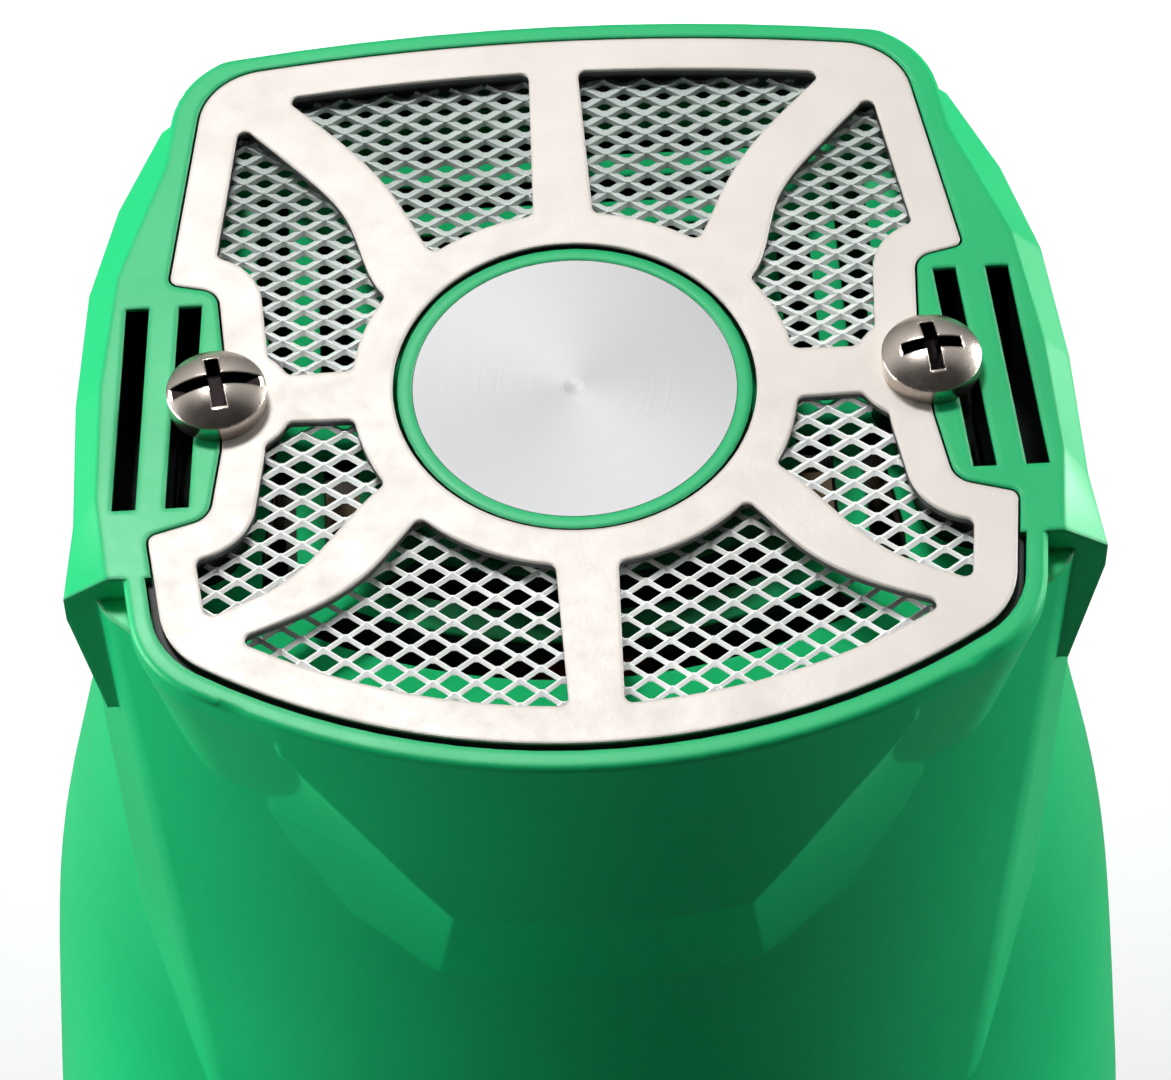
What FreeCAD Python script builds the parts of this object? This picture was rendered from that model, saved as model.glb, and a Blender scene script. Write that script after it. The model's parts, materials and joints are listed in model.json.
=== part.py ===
"""Detail ("mouse") sander with an upright motor head, as a parametric FreeCAD document.

The row frame is in millimetres: +Z up, -Y towards the pointed nose, the motor axis on Z and
the working face of the abrasive sheet on Z = 0.
"""

import FreeCAD, Part

import math
import os

V = FreeCAD.Vector
UP = V(0, 0, 1)

doc = FreeCAD.newDocument("detail_sander")
sheet = doc.addObject("Spreadsheet::Sheet", "dims")

DIMENSIONS = {
    # overall body
    "top_z": 148.0, "split_z": 32.0, "skirt_z": 14.5, "wall": 2.6,
    "base_half_width": 52.5, "base_rear": 52.0, "base_nose": -92.0,
    "waist_z": 140.0, "waist_rear": 37.2, "waist_nose": -31.5,
    # intake end: metal frame, mesh, badge and rim
    "frame_thick": 0.8, "frame_border": 3.4, "frame_gap": 0.7, "side_gap": 0.2,
    "rim_width": 2.4,
    "ring_outer": 17.9, "ring_bore": 14.6, "hub_radius": 14.25, "badge_radius": 13.0,
    "badge_thick": 0.8, "mesh_thick": 0.5, "mesh_sag_radius": 190.0,
    "grille_drop": 5.6, "grille_thick": 3.0,
    "front_centre_y": 21.1, "front_radius": 55.7, "back_y": 36.9, "back_radius": 178.0,
    "screw_x": 28.6, "screw_head": 4.0, "screw_head_high": 3.0, "screw_shank": 1.9,
    "screw_long": 14.0, "step_y": -17.0, "nose_top": 145.4, "nose_low": 50.0, "sweep_high": 78.0,
    "crease_round": 5.0, "flange_foot": 19.0, "seal_thick": 2.0,
    # motor
    "stator_radius": 27.0, "stator_bore": 15.0, "stator_low": 80.0, "stator_long": 32.0,
    "sleeve_radius": 29.6, "armature_radius": 14.5, "coil_turn": 6.0,
    "commutator_radius": 9.5, "commutator_low": 119.0, "commutator_long": 12.0,
    "shaft_radius": 3.0, "shaft_mid_radius": 5.0, "journal_radius": 6.0, "shaft_top": 139.0,
    "upper_bearing_low": 132.5, "upper_bearing_radius": 9.5, "upper_bearing_long": 6.0,
    "lower_bearing_low": 48.0, "lower_bearing_radius": 14.0, "bearing_long": 8.0,
    "running_gap": 0.03, "fan_low": 60.0, "fan_long": 10.0, "fan_radius": 27.0,
    "brush_wide": 6.0, "brush_long": 8.5, "brush_z": 124.5,
    "bracket_low": 51.0, "bracket_thick": 3.0, "post_circle": 35.0,
    # drive to the pad
    "orbit": 1.0, "pin_radius": 6.0, "pin_low": 12.6, "hub_low": 22.6, "hub_high": 29.5,
    "impeller_high": 39.0, "impeller_radius": 25.0,
    # pad
    "pad_half_width": 49.5, "pad_rear": 48.0, "pad_nose": -92.0,
    "sheet_thick": 0.9, "hook_thick": 1.0, "foam_thick": 6.1, "carrier_thick": 4.0,
    "post_radius": 4.5, "post_x": 27.0, "post_rear_y": 20.0, "post_nose_y": -46.0,
    "post_nose_x": 13.0,
    # rear controls and outlets
    "switch_z": 117.0, "dial_z": 96.0, "dial_y": 38.6, "dial_radius": 8.0, "dial_wide": 6.0,
    "gland_z": 78.0, "cord_radius": 3.6, "gland_radius": 6.0,
    "port_z": 47.0, "port_radius": 12.0, "port_wall": 1.8,
}

for row, (alias, value) in enumerate(DIMENSIONS.items(), start=1):
    sheet.set(f"A{row}", alias)
    sheet.set(f"B{row}", str(value))
    sheet.setAlias(f"B{row}", alias)
doc.recompute()


def dim(alias):
    """The value of one cell of the sheet."""
    return float(sheet.get(alias))


TOP = dim("top_z")
FRAME_LOW = TOP - dim("frame_thick")
GRILLE_TOP = TOP - dim("grille_drop")
GRILLE_LOW = GRILLE_TOP - dim("grille_thick")
CARRIER_LOW = dim("sheet_thick") + dim("hook_thick") + dim("foam_thick")
CARRIER_TOP = CARRIER_LOW + dim("carrier_thick")
BACKWARDS = V(0, 1, 0)
SIDES = (1, -1)
# how full the outlines of the pad and the base are at the rear and at the pointed nose
REAR_FULL, NOSE_FULL = 1.15, 0.30
# the housing's four posts for the bearing bracket, in degrees about the motor axis
POST_ANGLES = (45, 135, 225, 315)

NODES = {}


def node(label, obj):
    """Names a document object as one sub-part of the sander."""
    obj.Label = label
    NODES[label] = obj
    return obj


def shaped(label, shape):
    """A sub-part whose shape is made by Part's own functions from the sheet's values."""
    feature = doc.addObject("Part::Feature", label)
    feature.Shape = shape
    return node(label, feature)


# ---------------------------------------------------------------- parametric primitives


def primitive(kind, name, at=(0, 0, 0), turn=None, **sizes):
    """A Part primitive whose sizes and place are expressions of the sheet's cells."""
    made = doc.addObject(f"Part::{kind}", name)
    for prop, expression in sizes.items():
        made.setExpression(prop, str(expression))
    if turn:
        made.Placement = FreeCAD.Placement(V(), FreeCAD.Rotation(*turn))
    for axis, expression in zip("xyz", at):
        made.setExpression(f".Placement.Base.{axis}", str(expression))
    return made


def cylinder(name, radius, height, at=(0, 0, 0), turn=None):
    """A plain round bar or disc."""
    return primitive("Cylinder", name, at, turn, Radius=radius, Height=height)


def box(name, length, width, height, at=(0, 0, 0), turn=None):
    """A plain block, placed by its lowest corner."""
    return primitive("Box", name, at, turn, Length=length, Width=width, Height=height)


def centred_box(name, length, width, height, x=0, y=0, z=0):
    """A box whose middle is at x, y and whose bottom is at z."""
    at = (f"{x} - ({length}) / 2", f"{y} - ({width}) / 2", z)
    return box(name, length, width, height, at)


def cut(name, base, *tools):
    """base less its tools."""
    tool = tools[0] if len(tools) == 1 else fuse(f"{name}_tools", *tools)
    made = doc.addObject("Part::Cut", name)
    made.Base, made.Tool = base, tool
    return made


def fuse(name, *shapes):
    """One solid made of several that touch."""
    made = doc.addObject("Part::MultiFuse", name)
    made.Shapes = list(shapes)
    return made


def group(name, *shapes):
    """Separate solids that share one sub-part."""
    made = doc.addObject("Part::Compound", name)
    made.Links = list(shapes)
    return made


def tube(name, outer, inner, height, at=(0, 0, 0), turn=None):
    """A plain ring or tube."""
    return cut(name, cylinder(f"{name}_outer", outer, height, at, turn),
               cylinder(f"{name}_bore", inner, height, at, turn))


# ---------------------------------------------------------------- shared outlines


def around(angle, radius, z=0.0):
    """The point at an angle, in degrees, and a distance from the motor axis."""
    turn = math.radians(angle)
    return V(radius * math.cos(turn), radius * math.sin(turn), z)


def disc(radius, thick, at, along=UP):
    """A plain round bar or disc from the middle of its first end."""
    return Part.makeCylinder(radius, thick, at, along)


def prism(face, low, high):
    """The solid above a flat face, from z = low to z = high."""
    flat = face.copy()
    flat.translate(V(0, 0, low - flat.BoundBox.ZMin))
    return flat.extrude(V(0, 0, high - low))


def polygon_face(points):
    """A flat face from the corners of its outline."""
    wire = Part.makePolygon([V(x, y, 0) for x, y in [*points, points[0]]])
    return Part.Face(wire)


def mirrored(points):
    """A right-hand outline, from back to front, closed with its mirror image."""
    return [*points, *[(-x, y) for x, y in reversed(points)]]


def round_corners(face, corners):
    """A flat face with the corners nearest the given points rounded: [(x, y, radius), ...]."""
    solid = face.extrude(UP)
    for x, y, radius in corners:
        uprights = [e for e in solid.Edges if abs(abs(e.tangentAt(e.FirstParameter).z) - 1) < 1e-6
                    and len(e.Vertexes) == 2 and e.Length > 0.99]
        nearest = min(uprights, key=lambda e: math.hypot(e.Vertexes[0].X - x, e.Vertexes[0].Y - y))
        solid = solid.makeFillet(radius, [nearest])
    return max((f for f in solid.Faces if abs(f.CenterOfMass.z) < 1e-6), key=lambda f: f.Area)


def frame_face(notched):
    """The intake frame's outline: arcs front and back, tapered sides and a notch each side."""
    side = [(27.7, 45.0), (32.4, 12.4)]
    if notched:
        side += [(28.4, 11.4), (27.9, 4.0), (28.3, -5.0), (29.3, -11.6)]
    side += [(34.2, -13.1), (32.4, -28.0), (30.0, -45.0)]
    outline = polygon_face(mirrored(side))
    front = Part.Face(Part.Wire([Part.makeCircle(dim("front_radius"), V(0, dim("front_centre_y"), 0))]))
    back = Part.Face(Part.Wire([Part.makeCircle(
        dim("back_radius"), V(0, dim("back_y") - dim("back_radius"), 0))]))
    face = outline.common(front).common(back).Faces[0]
    corners = [(28.4, 34.8, 6.0), (32.6, -24.3, 7.0)]
    if notched:
        corners += [(28.4, 11.4, 1.8), (29.3, -11.6, 2.2), (32.4, 12.4, 0.8), (34.2, -13.1, 0.8)]
    return round_corners(face, [(s * x, y, r) for x, y, r in corners for s in (1, -1)])


def grown(face, distance):
    """The face with its outline moved outwards, or inwards where distance is negative."""
    return face.makeOffset2D(distance, 0, False, False, False) if distance else face.copy()


FRAME_FACE = frame_face(notched=True)
RIM_FACE = frame_face(notched=False)


def body_wire(z, half_width, rear, nose, rear_full=1.0, nose_full=1.0, points=24):
    """A closed smooth outline: rear_full and nose_full widen or narrow the two ends, so that a
    small nose_full makes a pointed nose."""
    ring = []
    for k in range(points):
        turn = 2 * math.pi * k / points
        toward_nose = (1 - math.cos(turn)) / 2
        full = rear_full + (nose_full - rear_full) * toward_nose ** 2
        x = half_width * full * math.sin(turn)
        y = (rear + nose) / 2 + (rear - nose) / 2 * math.cos(turn)
        ring.append(V(x, y, z))
    steps = [k / points for k in range(points + 1)]
    curve = Part.BSplineCurve()
    curve.interpolate(Points=ring, PeriodicFlag=True, Parameters=steps)
    return Part.Wire([curve.toShape()])


def delta_wire(z, inset=0.0):
    """The pad's outline, with a pointed nose, moved inwards by inset."""
    return body_wire(z, dim("pad_half_width") - inset, dim("pad_rear") - inset,
                     dim("pad_nose") + 1.6 * inset, REAR_FULL, NOSE_FULL)


def delta_plate(low, high, inset=0.0):
    """A flat plate with the pad's outline."""
    return Part.Face(delta_wire(low, inset)).extrude(V(0, 0, high - low))


# ---------------------------------------------------------------- motor housing

# z and half width of the bell-shaped body, from the split line up to the waist and the intake
WIDTHS = [(32.0, dim("base_half_width")), (46.0, 52.2), (60.0, 50.7), (74.0, 48.4), (88.0, 45.5),
          (102.0, 42.3), (113.0, 39.6), (126.0, 38.0), (140.0, 37.8)]


def sweep(z, start, power):
    """How far the nose has swept forwards at height z: 0 at start and 1 at the split line."""
    return max(0.0, (start - z) / (start - dim("split_z"))) ** power


def body_loft(inset=0.0, top=None):
    """The bell-shaped body, from the split line up."""
    wires = []
    for level, half in WIDTHS:
        z = level if top is None else min(level, top)
        forward = sweep(z, dim("sweep_high"), 1.7)
        backward = sweep(z, dim("waist_z"), 0.9)
        rear = dim("waist_rear") + (dim("base_rear") - dim("waist_rear")) * backward
        nose = dim("waist_nose") + (dim("base_nose") - dim("waist_nose")) * forward
        rear_full = 1.0 + (REAR_FULL - 1.0) * forward
        nose_full = 1.02 + (NOSE_FULL - 1.02) * forward
        wires.append(body_wire(z, half - inset, rear - inset, nose + inset * 1.3,
                               rear_full, nose_full))
    return Part.makeLoft(wires, True)


def nose_wire(z, inset=0.0):
    """The creased front: an arc between two creases, with a flank behind each crease."""
    taper = (dim("nose_top") - z) / (dim("nose_top") - dim("nose_low"))
    crease_x = 37.8 - 4.8 * taper - inset
    crease_y = -18.5 - 4.5 * taper + inset * 0.4
    front_y = -33.8 - 1.0 * taper + inset
    left, right = V(-crease_x, crease_y, z), V(crease_x, crease_y, z)
    arc = Part.Arc(left, V(0, front_y, z), right).toShape()
    flank_x = 40.3 - 1.6 * taper - inset
    flank = [V(flank_x, -12.5, z), V(flank_x - 3.0, 4.0, z)]
    path = [right, *flank, *[V(-p.x, p.y, z) for p in reversed(flank)], left]
    return Part.Wire([arc, *[Part.makeLine(a, b) for a, b in zip(path, path[1:])]])


def nose_loft(inset=0.0, top=None):
    """The creased front of the body, which runs down into the bell."""
    wires = [nose_wire(z, inset) for z in (dim("nose_low"), top or dim("nose_top"))]
    column = Part.makeLoft(wires, True, True)
    creases = [e for e in column.Edges if max(v.Y for v in e.Vertexes) < -15
               and abs(e.Vertexes[0].Z - e.Vertexes[1].Z) > 50]
    return column if inset else column.makeFillet(dim("crease_round"), creases)


# The brow's section at some depths below the top: half width of its front, half width at its
# foot on the body, and how far its front has sloped back
BROW_SECTIONS = [(0.4, 24.5, 25.6, 0.0), (4.0, 24.5, 25.8, 0.0), (18.0, 14.8, 26.0, 0.0),
                 (22.4, 11.9, 24.1, 0.0), (29.7, 12.7, 21.0, 1.55), (37.2, 13.5, 14.4, 3.2)]


def brow():
    """The thick panel under the rim's front: a trapezium with sloping edges."""
    rim = dim("front_radius") + dim("rim_width")
    centre_y = dim("front_centre_y")
    wires = []
    for depth, half, foot, back in BROW_SECTIONS:
        z, radius = TOP - depth, rim - back
        corner = V(half, centre_y - math.sqrt(radius ** 2 - half ** 2), z)
        base = V(foot, centre_y - math.sqrt((rim - 3.1) ** 2 - foot ** 2), z)
        path = [corner, base, V(foot, -15.0, z)]
        path += [V(-p.x, p.y, z) for p in reversed(path)]
        arc = Part.Arc(path[-1], V(0, centre_y - radius, z), corner).toShape()
        wires.append(Part.Wire([arc, *[Part.makeLine(a, b) for a, b in zip(path, path[1:])]]))
    panel = Part.makeLoft(wires[:2], True, True)
    for pair in zip(wires[1:], wires[2:]):
        panel = panel.fuse(Part.makeLoft(list(pair), True, True))
    return panel


def rim_flange():
    """The rim round the frame, whose underside slopes back into the body."""
    width, slope = dim("rim_width"), 3.8
    straight = prism(grown(RIM_FACE, width), TOP - 2.0, TOP)
    outline = [e for e in straight.Edges if min(v.Z for v in e.Vertexes) > TOP - 0.01]
    straight = straight.makeFillet(0.5, outline)
    upper = grown(RIM_FACE, width).OuterWire
    lower = grown(RIM_FACE, width - slope).OuterWire
    upper.translate(V(0, 0, TOP - 2.0 - upper.BoundBox.ZMin))
    lower.translate(V(0, 0, TOP - dim("flange_foot") - lower.BoundBox.ZMin))
    flange = straight.fuse(Part.makeLoft([upper, lower], True, True))
    back = dim("back_radius") + 1.7
    return flange.common(Part.makeCylinder(back, TOP, V(0, dim("back_y") - dim("back_radius"), 0)))


def side_pods():
    """The wide sides of the intake end, with a sloping shoulder all round."""
    flat = [(0, 38.0), (24.0, 36.6), (30.6, 31.0), (34.2, 20.5), (36.6, 13.5),
            (38.0, 2.0), (38.3, -9.0), (37.4, dim("step_y"))]
    edge = [(0, 38.9), (25.5, 37.4), (33.2, 31.0), (36.8, 22.5), (39.2, 13.5),
            (40.2, 2.0), (40.3, -10.0), (41.0, dim("step_y"))]
    foot = [(x * 0.95, 37.0 * y / 38.9 if y > 0 else y) for x, y in edge]
    tiers = []
    for outline, z in ((flat, TOP), (edge, TOP - 2.4), (edge, TOP - 5.0), (foot, TOP - 17.5)):
        points = mirrored(outline)[:-1]
        tiers.append(Part.makePolygon([V(x, y, z) for x, y in [*points, points[0]]]))
    pods = Part.makeLoft(tiers[:2], True, True)
    for pair in (tiers[1:3], tiers[2:]):
        pods = pods.fuse(Part.makeLoft(pair, True, True))
    return pods


def outer_skin():
    """The outside of the motor housing as one solid."""
    body = body_loft()
    ahead = Part.makeBox(120, 60, 60, V(-60, dim("step_y") - 60, TOP - 35.0))
    skin = body.cut(ahead)
    for piece in (nose_loft(), side_pods(), rim_flange(), brow()):
        skin = skin.fuse(piece)
    return skin


def cavity():
    """The room inside the shell, below the grille."""
    wall = dim("wall")
    return body_loft(wall, GRILLE_LOW).fuse(nose_loft(wall, GRILLE_LOW))


def sector(angle_from, angle_to, radius=60.0, inset=1.6):
    """A wedge about the motor axis, its flanks moved in by inset, as a flat face."""
    a, b = math.radians(angle_from), math.radians(angle_to)
    middle = (a + b) / 2
    apex = V(math.cos(middle), math.sin(middle), 0) * (inset / math.sin((b - a) / 2))
    ends = [apex + V(math.cos(t), math.sin(t), 0) * radius for t in (a, b)]
    return Part.Face(Part.makePolygon([apex, ends[0], ends[1], apex]))


def arc_slot(radius, width, low, high):
    """A ring about the centre of the frame's front arc."""
    centre = V(0, dim("front_centre_y"), low)
    outer = Part.makeCylinder(radius + width / 2, high - low, centre)
    return outer.cut(Part.makeCylinder(radius - width / 2, high - low, centre))


def grille_slots():
    """The air slots in the grille floor: arcs front and back, straight at the sides."""
    low, high = GRILLE_LOW - 1, GRILLE_TOP + 1
    room = prism(grown(FRAME_FACE, -dim("frame_border") - 0.2), low, high)
    room = room.cut(Part.makeCylinder(dim("hub_radius") + 0.9, high - low, V(0, 0, low)))
    slots = []
    corner, side = 47.0, 40.0
    front = [sector(-90 - side - 12, -91), sector(-89, -90 + side + 12)]
    back = [sector(91, 90 + side), sector(90 - side, 89)]
    flanks = [sector(-corner + 9, -1), sector(1, corner + 3),
              sector(180 - corner - 3, 179), sector(181, 180 + corner - 9)]
    for reach in (37.7, 44.2):
        ring = arc_slot(reach, 3.7, low, high)
        slots += [prism(face, low, high).common(ring) for face in front]
    for y in (19.6, 25.0, 30.2):
        bar = Part.makeBox(80, 2.8, high - low, V(-40, y - 1.4, low))
        slots += [prism(face, low, high).common(bar) for face in back]
    for x in (19.1, 24.2):
        bars = Part.makeBox(2.8, 90, high - low, V(x - 1.4, -45, low)).fuse(
            Part.makeBox(2.8, 90, high - low, V(-x - 1.4, -45, low)))
        slots += [prism(face, low, high).common(bars) for face in flanks]
    return room.common(slots[0].fuse(slots[1:]))


def pod_slots():
    """Two slanted air slots in each side pod."""
    cuts = []
    for side in (1, -1):
        for back_x, front_x in ((30.7, 31.9), (35.0, 36.1)):
            half = 0.95
            points = [(back_x - half, 10.0), (back_x + half, 10.0),
                      (front_x + half, -10.4), (front_x - half, -10.4)]
            face = polygon_face([(side * x, y) for x, y in points])
            cuts.append(prism(face, GRILLE_LOW - 2, TOP + 1))
    return cuts


def round_frame(low, high, closer=0.0):
    """A block a little larger than the frame: most in front, where its gap to the rim shows."""
    all_round = prism(grown(FRAME_FACE, dim("side_gap") - closer), low, high)
    in_front = prism(grown(FRAME_FACE, dim("frame_gap") - closer), low, high).common(
        Part.makeBox(120, 60, high - low, V(-60, dim("step_y") - 60, low)))
    return all_round.fuse(in_front).removeSplitter()


def frame_seat():
    """The recess for the metal frame and the mesh under it, round the hub and screw posts."""
    seat = round_frame(FRAME_LOW - dim("seal_thick"), TOP + 1)
    well = prism(grown(FRAME_FACE, -2.4), GRILLE_TOP, FRAME_LOW + 0.1)
    seat = seat.fuse(well)
    for side in (1, -1):
        seat = seat.cut(Part.makeCylinder(4.6, FRAME_LOW, V(side * dim("screw_x"), 0, 0)))
    return seat.cut(Part.makeCylinder(dim("hub_radius"), TOP))


def exhaust_slots():
    """Warm-air slots in the back wall, both sides of the cord, level with the cooling fan."""
    width, spacing, first = 2.6, 5.0, 15.0
    slots = []
    for side in (1, -1):
        for k in range(4):
            x = side * (first + k * spacing)
            slots.append(Part.makeBox(width, 40.0, 15.0, V(x - width / 2, 31.0, 57.0)))
    return slots


def stator_seat():
    """The sleeve that holds the stator, its ribs and the posts for the bearing bracket."""
    low, high = dim("stator_low") - 4.0, dim("stator_low") + dim("stator_long") + 6.0
    sleeve = Part.makeCylinder(dim("sleeve_radius"), high - low, V(0, 0, low))
    posts = []
    rib_thick, rib_start, rib_foot = 2.4, 27.0, 62.0
    post_foot = dim("bracket_low") + dim("bracket_thick")

    def rib(angle, reach, foot):
        bar = Part.makeBox(reach, rib_thick, high - foot, V(rib_start, -rib_thick / 2, foot))
        bar.rotate(V(), UP, angle)
        return bar

    for angle in POST_ANGLES:
        post = disc(3.8, high - post_foot, around(angle, dim("post_circle"), post_foot))
        posts += [post, rib(angle, 34.0, rib_foot)]
    for angle in (0, 180):
        posts.append(rib(angle, 30.0, low))
    return sleeve.fuse(posts)


def top_bearing_seat():
    """The boss under the grille that holds the upper bearing."""
    low = dim("upper_bearing_low") - 0.5
    return Part.makeCylinder(12.6, GRILLE_LOW - low + 0.1, V(0, 0, low))


def motor_housing():
    """The shell round the motor, with its seats, air slots and rear openings."""
    wall = dim("wall")
    skin = outer_skin()
    shell = skin.cut(cavity())
    fittings = stator_seat().fuse(top_bearing_seat())
    for side in (1, -1):
        fittings = fittings.fuse(Part.makeCylinder(
            4.2, GRILLE_TOP - 124.0, V(side * dim("screw_x"), 0, 124.0)))
    fittings = fittings.common(body_loft(wall * 0.6).fuse(nose_loft(wall * 0.6)))
    shell = shell.fuse(fittings)
    hollow = [
        frame_seat(),
        grille_slots(),
        *pod_slots(),
        *exhaust_slots(),
        Part.makeCylinder(dim("stator_radius") + 0.1, 44.5, V(0, 0, dim("stator_low") - 5.0)),
        Part.makeCylinder(dim("upper_bearing_radius") + 0.02,
                          dim("upper_bearing_long") + 0.8, V(0, 0, dim("upper_bearing_low") - 0.6)),
        Part.makeCylinder(4.2, 1.5, V(0, 0, dim("shaft_top") - 1.0)),
        Part.makeCylinder(dim("badge_radius") + 0.05, 3.0, V(0, 0, TOP - 0.3 - dim("badge_thick"))),
        Part.makeCylinder(dim("hub_radius") + 1.0, 2.0, V(0, 0, TOP - 0.3)),
    ]
    for side in (1, -1):
        hollow.append(Part.makeCylinder(dim("screw_shank") + 0.02, dim("screw_long") + 1.0,
                                        V(side * dim("screw_x"), 0, TOP - dim("screw_long") - 0.5)))
    for angle in POST_ANGLES:
        start = dim("bracket_low") + 2.0
        hollow.append(disc(1.52, 15.0, around(angle, dim("post_circle"), start)))
    hollow += rear_openings()
    for tool in hollow:
        shell = shell.cut(tool)
    return max(shell.Solids, key=lambda s: s.Volume)


def rear_openings():
    """The cut-outs in the back wall for the switch, the dial, the cord and the dust duct."""
    switch = Part.makeBox(13.2, 20.0, 19.4, V(-6.6, 30.0, dim("switch_z") - 9.7))
    switch = switch.fuse(Part.makeBox(17.2, 9.0, 23.2, V(-8.6, 40.8, dim("switch_z") - 11.6)))
    wide, tall = dim("dial_wide") + 0.8, 2 * dim("dial_radius") + 1.0
    dial = Part.makeBox(wide, 16.0, tall, V(-wide / 2, 30.3, dim("dial_z") - tall / 2))
    gland = disc(dim("gland_radius") + 0.03, 25.0, V(0, 33.0, dim("gland_z")), BACKWARDS)
    duct = disc(dim("port_radius") + 0.1, 30.0, V(0, 33.0, dim("port_z")), BACKWARDS)
    return [switch, dial, gland, duct]


# ---------------------------------------------------------------- intake end


def straight_spokes():
    """Four tapered spokes at the quarters, as one flat-sided solid per spoke."""
    bars = []
    for angle in (0, 90, 180, 270):
        face = polygon_face([(12.0, -2.6), (48.0, -1.7), (48.0, 1.7), (12.0, 2.6)])
        bar = prism(face, FRAME_LOW, TOP)
        bar.rotate(V(), UP, angle)
        bars.append(bar)
    return bars


def swept_spoke(outer, inner):
    """A curved spoke between two smooth edges that run from the ring out to the border."""
    edges = []
    for points in (outer, inner):
        curve = Part.BSplineCurve()
        curve.interpolate([V(x, y, 0) for x, y in points])
        edges.append(curve)
    first, second = edges
    ends = [(first.EndPoint, second.EndPoint), (second.StartPoint, first.StartPoint)]
    wire = Part.Wire([first.toShape(), Part.makeLine(*ends[0]), second.toShape(),
                      Part.makeLine(*ends[1])])
    return prism(Part.Face(wire), FRAME_LOW, TOP)


def uprights(solid):
    """The solid's straight upright edges."""
    return [e for e in solid.Edges if len(e.Vertexes) == 2
            and e.Vertexes[0].Point.distanceToPoint(e.Vertexes[1].Point) > 0.1
            and abs(e.Vertexes[0].X - e.Vertexes[1].X) + abs(e.Vertexes[0].Y - e.Vertexes[1].Y) < 1e-6]


def rounded_windows(frame, radius):
    """The frame with the sharp corners of its windows rounded, where the metal allows it."""
    room = prism(grown(FRAME_FACE, -dim("frame_border") + 0.2), FRAME_LOW - 1, TOP + 1)
    corners = [e.Vertexes[0].Point for e in uprights(frame)
               if room.isInside(e.Vertexes[0].Point, 1e-6, True)
               and math.hypot(e.Vertexes[0].X, e.Vertexes[0].Y) > dim("ring_bore") + 1.0]
    for corner in corners:
        nearest = min(uprights(frame), key=lambda e: e.Vertexes[0].Point.distanceToPoint(corner))
        try:
            rounded = frame.makeFillet(radius, [nearest])
        except Part.OCCError:
            continue
        if rounded.isValid() and len(rounded.Solids) == 1:
            frame = rounded
    return frame


def filter_frame():
    """The stamped frame: a border and a ring joined by four straight and four curved spokes."""
    thick = dim("frame_thick")
    plate = prism(FRAME_FACE, FRAME_LOW, TOP)
    window = prism(grown(FRAME_FACE, -dim("frame_border")), FRAME_LOW - 1, TOP + 1)
    frame = plate.cut(window)
    ring = Part.makeCylinder(dim("ring_outer"), thick, V(0, 0, FRAME_LOW))
    frame = frame.fuse(ring)
    bars = straight_spokes()
    back = ([(-9.0, 11.8), (-11.0, 14.4), (-13.3, 19.5), (-16.7, 25.1), (-22.0, 31.1), (-24.2, 33.6)],
            [(-12.6, 8.4), (-14.8, 10.0), (-17.8, 18.4), (-21.2, 23.4), (-26.0, 28.8), (-28.2, 31.2)])
    front = ([(-13.2, -7.6), (-15.6, -9.2), (-19.5, -13.7), (-24.0, -18.4), (-28.9, -20.9), (-31.5, -22.2)],
             [(-10.6, -10.4), (-12.8, -12.4), (-17.3, -17.8), (-21.8, -20.9), (-26.5, -22.9),
              (-29.2, -24.1)])
    for outer, inner in (back, front):
        spoke = swept_spoke(outer, inner)
        bars += [spoke, spoke.mirror(V(), V(1, 0, 0))]
    for bar in bars:
        frame = frame.fuse(bar.common(plate))
    for side in (1, -1):
        lug = Part.makeCylinder(5.3, thick, V(side * 27.7, 0, FRAME_LOW)).common(
            Part.makeBox(10, 12, 9, V(side * 25.6 - 5, -6, FRAME_LOW - 3)))
        frame = frame.fuse(lug.common(plate))
        frame = frame.cut(Part.makeCylinder(dim("screw_shank") + 0.35, 9.0,
                                            V(side * dim("screw_x"), 0, FRAME_LOW - 3)))
    frame = frame.cut(disc(dim("ring_bore"), 9.0, V(0, 0, FRAME_LOW - 3))).removeSplitter()
    return rounded_windows(frame, 0.7)


def filter_seal():
    """The dark rubber seal under the frame's border, which also grips the mesh."""
    low = FRAME_LOW - dim("seal_thick")
    outer = round_frame(low, FRAME_LOW, closer=0.15)
    seal = outer.cut(prism(grown(FRAME_FACE, -dim("frame_border") + 0.3), low - 1, TOP))
    for side in (1, -1):
        seal = seal.cut(Part.makeCylinder(4.9, 9.0, V(side * dim("screw_x"), 0, low - 3)))
    return seal


def filter_mesh():
    """The dust mesh under the frame, sagging a little towards its front and back."""
    radius = dim("mesh_sag_radius")
    crown = FRAME_LOW - 0.1
    outer = Part.makeCylinder(radius, 80, V(-40, 0, crown - radius), V(1, 0, 0))
    inner = Part.makeCylinder(radius - dim("mesh_thick"), 80, V(-40, 0, crown - radius), V(1, 0, 0))
    area = prism(grown(FRAME_FACE, 0.25 - dim("frame_border")), FRAME_LOW - 8, FRAME_LOW)
    mesh = area.common(outer.cut(inner))
    mesh = mesh.cut(Part.makeCylinder(dim("ring_bore"), 20, V(0, 0, FRAME_LOW - 10)))
    for side in (1, -1):
        mesh = mesh.cut(Part.makeCylinder(4.8, 20, V(side * dim("screw_x"), 0, FRAME_LOW - 10)))
    return mesh


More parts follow.
